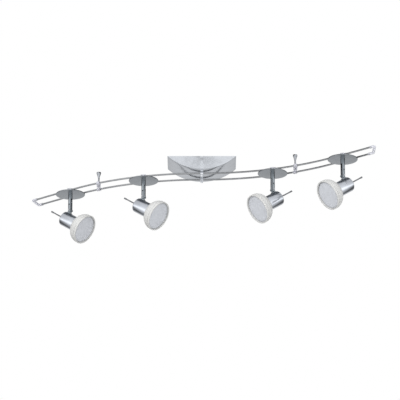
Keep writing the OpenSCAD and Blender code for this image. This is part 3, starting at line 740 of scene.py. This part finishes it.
class RAIL_OT_rods(bpy.types.Operator):
    """Build the two conductor rods and the clear end caps"""
    bl_idname = "rail_light.rods"
    bl_label = "Rods and end caps"

    def execute(self, context):
        rail = rail_sizes()
        reach = {"front": (-1, rail.left + rail.front_extra_left, rail.right + rail.front_extra_right),
                 "rear": (1, rail.left, rail.right)}
        for word, (side, left, right) in reach.items():
            bm = half_rod(right, rail.rod_radius, 1)
            join(bm, half_rod(left, rail.rod_radius, -1))
            tidy(bm)
            place = shift(0, side * rail.rod_gap / 2, rod_level())
            piece(word + "_conductor", bm, "base", "rod", [word + "_rod"], place)
        self.end_cap("left", -rail.left, rail.front_extra_left)
        self.end_cap("right", rail.right, rail.front_extra_right)
        return {"FINISHED"}

    def end_cap(self, word, station, front_extra):
        """A clear bow that takes the ends of both rods, swept from one socket round to the other."""
        rail = rail_sizes()
        out = 1 if station > 0 else -1
        mouths, corners, ways = [], [], []
        for side, extra in ((-1, front_extra), (1, 0.0)):
            point, heading = rail_at(station + out * extra)
            way = out * Vector((math.cos(heading), math.sin(heading), 0))
            tip = point + Vector((0, side * rail.rod_gap / 2, rod_level()))
            ways.append(way)
            mouths.append(tip - way * rail.cap_grip)
            corners.append(tip + way * (rail.cap_reach - rail.cap_width / 2))
        height = node_size(word + "_end_cap").z
        bm = bmesh.new()
        ring = bmesh.ops.create_circle(bm, segments=32, radius=0.5, matrix=rotation(math.pi / 2, "Y"))
        first = ways[0]
        place = Matrix.Translation(mouths[0]) @ rotation(math.atan2(first.y, first.x), "Z")
        bmesh.ops.scale(bm, vec=(1, rail.cap_width, height), verts=ring["verts"])
        bmesh.ops.transform(bm, matrix=place, verts=ring["verts"])
        loop = loop_of(ring["verts"])
        bmesh.ops.contextual_create(bm, geom=loop)
        across = (corners[1] - corners[0]).normalized()
        legs = ((mouths[0], corners[0], ways[0], across), (corners[0], corners[1], across, -ways[1]))
        bend = rail.cap_width * CAP_BEND
        trimmed = 0.0
        for begin, end, way, after in legs:
            turn_by = way.to_2d().angle_signed(after.to_2d())
            lost = bend * math.tan(abs(turn_by) / 2)
            loop = draw_on(bm, loop, way * ((end - begin).length - trimmed - lost))
            spot = end - way * lost
            left = Vector((-way.y, way.x, 0)) * (1 if turn_by < 0 else -1)
            done = bmesh.ops.spin(bm, geom=loop, cent=spot + left * bend, axis=(0, 0, -1),
                                  angle=turn_by, steps=10)
            loop = edges_of(done["geom_last"])
            trimmed = lost
        loop = draw_on(bm, loop, -ways[1] * ((mouths[1] - corners[1]).length - trimmed))
        bmesh.ops.contextual_create(bm, geom=loop)
        tidy(bm)
        soften(bm, 0.0005, 3, angle=math.radians(60))
        piece(word + "_end_bow", bm, "base", "clear", [word + "_end_cap"])


class RAIL_OT_feed(bpy.types.Operator):
    """Build the clamps and thumb nuts that feed the rods"""
    bl_idname = "rail_light.feed"
    bl_label = "Feed clamps"

    def execute(self, context):
        low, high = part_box("feed_clamps")
        knob_low, knob_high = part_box("feed_knobs")
        gap = rail_sizes().rod_gap
        depth = (high.y - low.y) - gap
        for side, word in ((-1, "front"), (1, "rear")):
            bm = block((high.x - low.x, depth, high.z - low.z), (0, 0, (high.z + low.z) / 2))
            soften(bm, 0.0012, segments=4)
            piece("feed_clamp_" + word, bm, "base", "clamp", ["feed_clamps"],
                  shift(y=side * gap / 2))
            self.thumb_nut(word, side * gap / 2, knob_low.z, low.z, (knob_high.x - knob_low.x) / 2)
        return {"FINISHED"}

    def thumb_nut(self, word, y, bottom, top, radius):
        """A nut with raised teeth round its side and a rounded cap below."""
        teeth = 28
        height = top - bottom
        bm = cylinder(radius * 0.95, height * 0.62, teeth * 2, (0, 0, top - height * 0.36))
        sides = [f for f in bm.faces if abs(f.normal.z) < 0.5]
        sides.sort(key=lambda f: math.atan2(f.calc_center_median().y, f.calc_center_median().x))
        bmesh.ops.inset_individual(bm, faces=sides[::2], thickness=0.00008, depth=radius * 0.04)
        cap = turn([(0.0, 0.0), (0.0, radius * 0.62), (0.0007, radius * 0.86), (0.0016, radius * 0.90),
                    (0.0022, radius * 0.90), (0.0022, 0.0)], 48)
        soften(cap, 0.0002, 2)
        join(bm, moved(cap, shift(z=bottom) @ UPRIGHT))
        piece("thumb_nut_" + word, bm, "base", "clamp", ["feed_knobs"], shift(y=y))


class RAIL_OT_standoffs(bpy.types.Operator):
    """Build the two standoffs and their clear clips"""
    bl_idname = "rail_light.standoffs"
    bl_label = "Standoffs"

    def execute(self, context):
        rail = rail_sizes()
        for word, station in (("left", rail.station_1), ("right", rail.station_2)):
            self.standoff(word)
            self.clip(word, station)
        return {"FINISHED"}

    def standoff(self, word):
        """A turned post: a flared foot with a threaded hole, and a thin shank."""
        node = word + "_standoff"
        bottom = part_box(node)[0].z
        middle = node_centre(node)
        foot = node_size(node).x / 2
        shank, band, cone = 0.002, 0.003, 0.013
        hole, hole_depth = 0.00165, 0.010
        flare = [(-band - cone * t, shank + (foot - shank) * (1 - t) ** 1.25)
                 for t in (0.0, 0.2, 0.4, 0.6, 0.8, 1.0)]
        profile = ([(0.0, hole), (0.0, foot)] + flare + [(bottom, shank), (bottom, 0.0),
                   (-hole_depth, 0.0), (-hole_depth, hole)])
        bm = turn(profile, 64, closed=True)
        soften(bm, 0.0003)
        piece(word + "_standoff_turned", bm, "base", "standoff", [node],
              shift(middle.x, middle.y, 0) @ UPRIGHT)

    def clip(self, word, station):
        """A hub round the standoff's shank, a bar across and a ring round each rod."""
        rail = rail_sizes()
        point, heading = rail_at(station)
        level = rod_level()
        hub_low, hub_high = level - rail.rod_radius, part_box("standoff_clips")[1].z
        bm = moved(self.sleeve(hub_low, hub_high, 0.0021, 0.005, 0.0008, 4), UPRIGHT)
        bar_width, bar_margin, bar_rise = 0.005, 0.002, 0.004
        bar_height = rail.rod_radius + bar_rise
        bar = block((bar_width, rail.rod_gap - 2 * bar_margin, bar_height), (0, 0, level + bar_height / 2))
        soften(bar, 0.0010, 3)
        join(bm, bar)
        ring_hole, ring_radius, ring_width = rail.rod_radius + 0.0001, 0.0045, 0.009
        for side in (-1, 1):
            hook = self.sleeve(-ring_width / 2, ring_width / 2, ring_hole, ring_radius, 0.0007, 3)
            join(bm, moved(hook, shift(0, side * rail.rod_gap / 2, level) @ rotation(heading, "Z")))
        piece(word + "_rail_clip", bm, "base", "clear", ["standoff_clips"],
              shift(point.x, point.y, 0))

    def sleeve(self, first, last, hole, radius, rounding, segments):
        """A tube about local X from first to last, with its edges rounded."""
        bm = turn([(first, hole), (first, radius), (last, radius), (last, hole)], 48, closed=True)
        soften(bm, rounding, segments)
        return bm


# ---------------------------------------------------------------------------
# Carriers
# ---------------------------------------------------------------------------

class RAIL_OT_carriers(bpy.types.Operator):
    """Build the carrier discs, and the saddles that clamp them to the rods"""
    bl_idname = "rail_light.carriers"
    bl_label = "Carriers"

    def execute(self, context):
        for i in LAMPS:
            self.disc(i)
        dressed("saddle_set", "rod_saddles", "base", "clear", 0.0004, 3)
        dressed("saddle_screw_set", "saddle_screws", "base", "steel", 0.0002)
        return {"FINISHED"}

    def disc(self, i):
        """A flat disc with a rounded edge and a hole for the stem's neck."""
        node = f"carrier_disc_{i}"
        low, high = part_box(node)
        middle = node_centre(node)
        radius, thick, hole = (high.x - low.x) / 2, high.z - low.z, 0.0031
        edge = thick * 0.36
        corner = [(math.sin(a), math.cos(a)) for a in (math.radians(d) for d in (0, 22, 45, 68, 90))]
        profile = [(0.0, hole)]
        profile += [(edge - edge * y, radius - edge + edge * x) for x, y in corner]
        profile += [(thick - edge + edge * x, radius - edge + edge * y) for x, y in corner]
        profile += [(thick, hole)]
        bm = turn(profile, 160, closed=True)
        piece(f"disc_{i}", bm, "base", "disc", [node],
              shift(middle.x, middle.y, low.z) @ UPRIGHT)


# ---------------------------------------------------------------------------
# Lamps
# ---------------------------------------------------------------------------

def pivot(i):
    return Vector(JOINTS[f"tilt_{i}"]["pos_m"])


def pan_angle(i):
    """Angle about +Z that the head of lamp i points to."""
    axis = JOINTS[f"tilt_{i}"]["axis"]
    return math.atan2(-axis[0], axis[1])


def tilt_angle(i):
    """Angle below the horizontal at rest; the hinge's lower limit is the horizontal."""
    return -math.radians(JOINTS[f"tilt_{i}"]["range_deg"][0])


def stem_place(i):
    return Matrix.Translation(pivot(i)) @ rotation(pan_angle(i), "Z")


def head_place(i):
    """Local X runs along the barrel from its rear face, and local Z points to the hinge's side."""
    lamp = lamp_sizes()
    return (stem_place(i) @ rotation(tilt_angle(i), "Y")
            @ shift(-lamp.hinge_ahead, 0, -lamp.barrel_radius - lamp.stem_radius - lamp.hinge_gap))


# Levels above the tilt hinge between which only the grub screw lies
GRUB_BAND = (0.010, 0.019)


class RAIL_OT_stems(bpy.types.Operator):
    """Build the forked stems with their hinge screws and locknuts"""
    bl_idname = "rail_light.stems"
    bl_label = "Stems"

    def execute(self, context):
        for i in LAMPS:
            dressed(f"stem_tube_{i}", f"stem_{i}", f"swivel_{i}", "stem", 0.0003, 3)
            made = dressed(f"hinge_set_{i}", f"swivel_fasteners_{i}", f"swivel_{i}",
                           "steel", 0.0002)
            made.data.materials.append(finish("grub"))
            for face in made.data.polygons:
                if GRUB_BAND[0] < face.center.z - pivot(i).z < GRUB_BAND[1]:
                    face.material_index = 1
        return {"FINISHED"}


BARREL_WALL = 0.0012
NECK_PLAY = 0.00005     # between the barrel and the shade's neck
LENS_PLAY = 0.0002      # between the front glass and the shade's rim
QUARTER = [math.radians(15 * k) for k in range(7)]


def neck_start(lamp):
    return lamp.barrel_length - lamp.neck_lap


def rim_front(lamp):
    return neck_start(lamp) + lamp.shade_length


def lens_radius(lamp):
    return lamp.shade_radius - lamp.rim_wall - LENS_PLAY


def bowl_radius(lamp, x):
    """Outer radius of the bowl: a quarter of an ellipse from the neck to the rim's band."""
    last = rim_front(lamp) - lamp.rim_band
    neck = lamp.barrel_radius + NECK_PLAY + lamp.bowl_wall
    half = (last - neck_start(lamp)) / math.sqrt(1 - (neck / lamp.shade_radius) ** 2)
    return lamp.shade_radius * math.sqrt(1 - ((last - min(x, last)) / half) ** 2)


class RAIL_OT_heads(bpy.types.Operator):
    """Build the lamp heads: tongue, barrel, lampholder, capsule, shade, front glass and aiming rod"""
    bl_idname = "rail_light.heads"
    bl_label = "Lamp heads"

    def execute(self, context):
        for i in LAMPS:
            place, body = head_place(i), f"head_{i}"
            dressed(f"tongue_{i}", f"tilt_tongue_{i}", body, "stem", 0.0003)
            piece(f"barrel_tube_{i}", self.barrel(), body, "barrel", [f"barrel_{i}"], place)
            piece(f"bowl_{i}", self.shade(), body, "shade", [f"shade_{i}"], place)
            piece(f"front_glass_{i}", self.lens(), body, "lens", [f"lens_{i}"], place)
            piece(f"aiming_rod_{i}", self.aim_rod(), body, "aim", [f"aim_rod_{i}"], place)
            piece(f"holder_{i}", self.holder(), body, "ceramic",
                  [f"lampholder_{i}"], place)
            piece(f"capsule_{i}", self.capsule(), body, "capsule", [f"bulb_{i}"], place)
        return {"FINISHED"}

    def barrel(self):
        """A turned tube with a round-cornered rear end, drilled for the aiming rod."""
        lamp = lamp_sizes()
        r, inside, corner = lamp.barrel_radius, lamp.barrel_radius - BARREL_WALL, 0.003
        hole, end_wall, fillet = 0.00135, 0.002, 0.002
        profile = [(0.0, hole)]
        profile += [(corner * (1 - math.cos(a)), r - corner * (1 - math.sin(a))) for a in QUARTER]
        profile += [(lamp.barrel_length, r), (lamp.barrel_length, inside), (end_wall + fillet, inside),
                    (end_wall, inside - fillet), (end_wall, hole)]
        bm = turn(profile, lamp.segments, closed=True)
        soften(bm, 0.00025, 2)
        return bm

    def shade(self):
        """Frosted bowl: an elliptical back, a groove behind the rim's band and a seat for the glass."""
        lamp = lamp_sizes()
        rim, seat, outside = rim_front(lamp), lens_radius(lamp), lamp.shade_radius
        rim_inside = outside - lamp.rim_wall
        band = rim - lamp.rim_band
        fit = lamp.barrel_radius + NECK_PLAY
        back = lamp.barrel_length + 0.0005
        lip = rim - lamp.lens_recess - lamp.lens_thickness - 0.0001
        ledge, bead, groove, steps = 0.0016, 0.0007, 0.0008, 20

        def between(first, last):
            """Places from first to last that crowd together towards the last."""
            return [first + (last - first) * math.sin(math.pi / 2 * k / steps) for k in range(steps + 1)]

        outer = [(x, bowl_radius(lamp, x)) for x in between(neck_start(lamp), band)]
        inner = [(x, min(bowl_radius(lamp, x) - lamp.bowl_wall, seat)) for x in between(back, lip - ledge)]
        profile = [(neck_start(lamp), fit)] + outer
        profile += [(band + groove * 0.6, outside - groove), (band + groove * 1.2, outside)]
        profile += [(rim - bead, outside), (rim - bead * 0.3, outside - bead * 0.3),
                    (rim, outside - bead), (rim, rim_inside + bead * 0.6), (rim - bead * 0.6, rim_inside)]
        profile += [(lip, rim_inside), (lip, seat - ledge), (lip - ledge, seat - ledge)]
        profile += inner[::-1] + [(back, fit)]
        return turn(profile, lamp.segments, closed=True)

    def lens(self):
        """Front glass: nearly flat, with a faint dome and a ground, rounded edge."""
        lamp = lamp_sizes()
        front, radius = rim_front(lamp) - lamp.lens_recess, lens_radius(lamp)
        back = front - lamp.lens_thickness
        steps, dome, edge, chamfer = 10, 0.0006, 0.0006, 0.0004
        rows = [k / steps for k in range(steps + 1)]
        profile = [(front - dome * t ** 2, (radius - edge) * t) for t in rows]
        profile += [(front - dome - edge / 3, radius - edge / 3), (front - dome - edge, radius),
                    (back + chamfer, radius), (back, radius - chamfer), (back, 0.0)]
        return turn(profile, lamp.segments)

    def aim_rod(self):
        """A thin rod with a collar at the barrel and a slightly thicker grip at its end."""
        lamp = lamp_sizes()
        r, end = lamp.aim_radius, -lamp.aim_length
        root, collar, grip, swell = 0.004, 0.0016, 0.0072, 0.00045
        profile = [(root, 0.0), (root, r), (0.0, r), (0.0, r + collar), (-collar, r + collar),
                   (-collar * 1.5, r + 0.0003), (-0.0030, r), (end + grip + 0.0006, r),
                   (end + grip, r + swell), (end + 2 * swell, r + swell), (end + 0.0002, r * 0.7),
                   (end, 0.0)]
        bm = turn(profile, 32)
        soften(bm, 0.00015, 2)
        return bm

    def holder(self):
        """Ceramic lampholder: a flange that fits the barrel, a body and a narrower front."""
        first, last, flange, nose = 0.012, 0.030, 0.002, 0.003
        inside = lamp_sizes().barrel_radius - BARREL_WALL
        r = inside - 0.0018
        profile = [(first, 0.0), (first, inside - 0.0001), (first + flange, inside - 0.0001),
                   (first + flange, r), (last - nose, r), (last - nose, r * 0.8), (last, r * 0.72),
                   (last, 0.0)]
        bm = turn(profile, 64)
        soften(bm, 0.0004, 3)
        return bm

    def capsule(self):
        """Halogen capsule: a narrower base and a round-ended bulb."""
        r, base_r, first, last = 0.0045, 0.0035, 0.0301, 0.0500
        tip = last - r
        profile = [(first, 0.0), (first, base_r), (first + 0.005, base_r), (first + 0.0065, r)]
        profile += [(tip + r * math.sin(a), r * math.cos(a)) for a in QUARTER]
        return turn(profile, 40)


# ---------------------------------------------------------------------------
# Stage
# ---------------------------------------------------------------------------

# Brightness of the studio by angle: 0 is level in front, 90 overhead, 180 behind and -90 below
SKY_BANDS = ((-180, 0.70), (-163, 0.80), (-135, 0.78), (-100, 0.62), (-70, 0.46), (-48, 0.78), (-24, 1.28),
             (-4, 1.45), (14, 1.20), (22, 1.10), (40, 0.98), (56, 0.85), (76, 0.64), (100, 0.54),
             (128, 0.48), (168, 0.44), (179, 0.5))
# The same for what lies well to the left or right
SIDE_BANDS = ((-180, 0.12), (-134, 0.14), (-118, 0.34), (-90, 0.62), (-60, 0.90), (-32, 1.45), (-6, 1.75),
              (16, 1.20), (36, 0.85), (60, 0.70), (90, 0.66), (179, 0.60))
SKY_TINT = (0.985, 1.0, 1.02)
SIDE_FROM, SIDE_FULL = 0.35, 0.70       # how far aside a direction is where the sides begin and are full
# Name, place, width in metres and power in watts
LIGHTS = (("key", (-2.2, -3.0, 1.2), 2.4, 70.0), ("fill", (2.6, -2.6, -1.6), 2.6, 34.0),
          ("back", (0.6, 3.0, 1.6), 2.2, 30.0))
LIGHT_TARGET = Vector((0, 0, -0.08))


class RAIL_OT_stage(bpy.types.Operator):
    """Make the camera, the floor, the sky and the lights"""
    bl_idname = "rail_light.stage"
    bl_label = "Stage"

    def execute(self, context):
        scene = context.scene
        scene.view_settings.view_transform = "Standard"
        self.camera(scene)
        self.floor(scene)
        self.sky(scene)
        self.lights(scene)
        self.dark_card()
        return {"FINISHED"}

    def camera(self, scene):
        stage = scene.rail_light_stage
        data = bpy.data.cameras.new("camera")
        data.lens = stage.lens
        data.sensor_width = 36.0
        data.clip_end = 100.0
        view = bpy.data.objects.new("camera", data)
        scene.collection.objects.link(view)
        back = Vector((0, -math.cos(stage.elevation), math.sin(stage.elevation)))
        view.location = Vector(stage.aim) + back * stage.distance
        view.rotation_mode = "QUATERNION"
        view.rotation_quaternion = (-back).to_track_quat("-Z", "Y")
        scene.camera = view

    def floor(self, scene):
        """A pale floor far below, which lets light and sight through from underneath."""
        bm = bmesh.new()
        bmesh.ops.create_grid(bm, x_segments=1, y_segments=1, size=14.0)
        bmesh.ops.translate(bm, vec=(0, 0, -scene.rail_light_stage.floor_drop), verts=bm.verts)
        pale = Finish("pale floor", (0.82, 0.82, 0.81), 0.8)
        side = pale.node("ShaderNodeNewGeometry").outputs["Backfacing"]
        through = pale.node("ShaderNodeBsdfTransparent")
        blend = pale.node("ShaderNodeMixShader")
        output = pale.tree.nodes["Material Output"]
        pale.link(side, blend.inputs["Fac"])
        pale.link(pale.shader.outputs["BSDF"], blend.inputs[1])
        pale.link(through.outputs["BSDF"], blend.inputs[2])
        pale.link(blend.outputs["Shader"], output.inputs["Surface"])
        floor = add_object("floor", bm, pale.material)
        floor.visible_glossy = False

    def sky(self, scene):
        """White to the camera; to reflections, a soft box low in front and a dark ceiling behind."""
        world = bpy.data.worlds.new("studio")
        world.use_nodes = True
        scene.world = world
        studio = Nodes(world.node_tree)
        parts = studio.node("ShaderNodeSeparateXYZ")
        studio.link(studio.node("ShaderNodeTexCoord").outputs["Generated"], parts.inputs["Vector"])
        front = studio.node("ShaderNodeMath", operation="MULTIPLY")
        studio.link(parts.outputs["Y"], front.inputs[0])
        front.inputs[1].default_value = -1.0
        angle = studio.node("ShaderNodeMath", operation="ARCTAN2")
        studio.link(parts.outputs["Z"], angle.inputs[0])
        studio.link(front.outputs["Value"], angle.inputs[1])
        part_turn = studio.spread(angle.outputs["Value"], 0.0, 1.0, -math.pi, math.pi)

        def bands(rows):
            return studio.ramp(part_turn, [((degrees + 180) / 360, [level * tint for tint in SKY_TINT])
                                           for degrees, level in rows])

        aside = studio.node("ShaderNodeMath", operation="ABSOLUTE")
        studio.link(parts.outputs["X"], aside.inputs[0])
        both = studio.node("ShaderNodeMix", data_type="RGBA")
        studio.link(studio.spread(aside.outputs["Value"], 0.0, 1.0, SIDE_FROM, SIDE_FULL,
                                  interpolation_type="SMOOTHSTEP"), both.inputs["Factor"])
        studio.link(bands(SKY_BANDS), both.inputs["A"])
        studio.link(bands(SIDE_BANDS), both.inputs["B"])
        background = studio.tree.nodes["Background"]
        studio.link(both.outputs["Result"], background.inputs["Color"])
        white = studio.node("ShaderNodeBackground")
        white.inputs["Color"].default_value = (1.0, 1.0, 1.0, 1.0)
        blend = studio.node("ShaderNodeMixShader")
        studio.link(studio.node("ShaderNodeLightPath").outputs["Is Camera Ray"], blend.inputs["Fac"])
        studio.link(background.outputs["Background"], blend.inputs[1])
        studio.link(white.outputs["Background"], blend.inputs[2])
        studio.link(blend.outputs["Shader"], studio.tree.nodes["World Output"].inputs["Surface"])

    def lights(self, scene):
        for name, place, size, power in LIGHTS:
            data = bpy.data.lights.new(name, "AREA")
            data.shape = "SQUARE"
            data.size = size
            data.energy = power
            lamp = bpy.data.objects.new(name, data)
            scene.collection.objects.link(lamp)
            lamp.visible_glossy = False
            lamp.location = place
            lamp.rotation_mode = "QUATERNION"
            lamp.rotation_quaternion = (LIGHT_TARGET - Vector(place)).to_track_quat("-Z", "Y")

    def dark_card(self):
        """A black flag above the rail's middle, end on to the camera, gives each stem its dark side."""
        height, depth, middle = 0.76, 2.6, 0.40
        bm = bmesh.new()
        bmesh.ops.create_grid(bm, x_segments=1, y_segments=1, size=0.5)
        moved(bm, shift(z=middle) @ rotation(math.pi / 2, "Y") @ Matrix.Diagonal((height, depth, 1, 1)))
        card = add_object("flag", bm, Finish("flag cloth", (0.02, 0.02, 0.022), 0.9).material)
        card.visible_camera = False
        card.visible_diffuse = False
        card.visible_shadow = False
        card.visible_transmission = False


# ---------------------------------------------------------------------------
# Add-on
# ---------------------------------------------------------------------------

PIECE_OPERATORS = (RAIL_OT_canopy, RAIL_OT_inside, RAIL_OT_rods, RAIL_OT_feed, RAIL_OT_standoffs,
                   RAIL_OT_carriers, RAIL_OT_stems, RAIL_OT_heads)


class VIEW3D_PT_rail_light(bpy.types.Panel):
    """Lists the steps that build the rail light"""
    bl_label = "Rail Light"
    bl_space_type = "VIEW_3D"
    bl_region_type = "UI"
    bl_category = "Rail Light"

    def draw(self, context):
        column = self.layout.column()
        for operator in PIECE_OPERATORS + (RAIL_OT_stage,):
            column.operator(operator.bl_idname)


GROUPS = (("rail", RailSizes), ("canopy", CanopySizes), ("lamp", LampSizes),
          ("colours", FinishColours), ("stage", StageSizes))
CLASSES = tuple(group for _, group in GROUPS) + PIECE_OPERATORS + (RAIL_OT_stage, VIEW3D_PT_rail_light)


def register():
    for made in CLASSES:
        bpy.utils.register_class(made)
    for name, group in GROUPS:
        setattr(bpy.types.Scene, "rail_light_" + name, PointerProperty(type=group))


def unregister():
    for name, _ in GROUPS:
        delattr(bpy.types.Scene, "rail_light_" + name)
    for made in reversed(CLASSES):
        bpy.utils.unregister_class(made)


def main():
    register()
    bpy.ops.rail_light.stage()
    bpy.ops.rail_light.canopy()
    bpy.ops.rail_light.inside()
    bpy.ops.rail_light.rods()
    bpy.ops.rail_light.feed()
    bpy.ops.rail_light.standoffs()
    bpy.ops.rail_light.carriers()
    bpy.ops.rail_light.stems()
    bpy.ops.rail_light.heads()


if __name__ == "__main__":
    main()
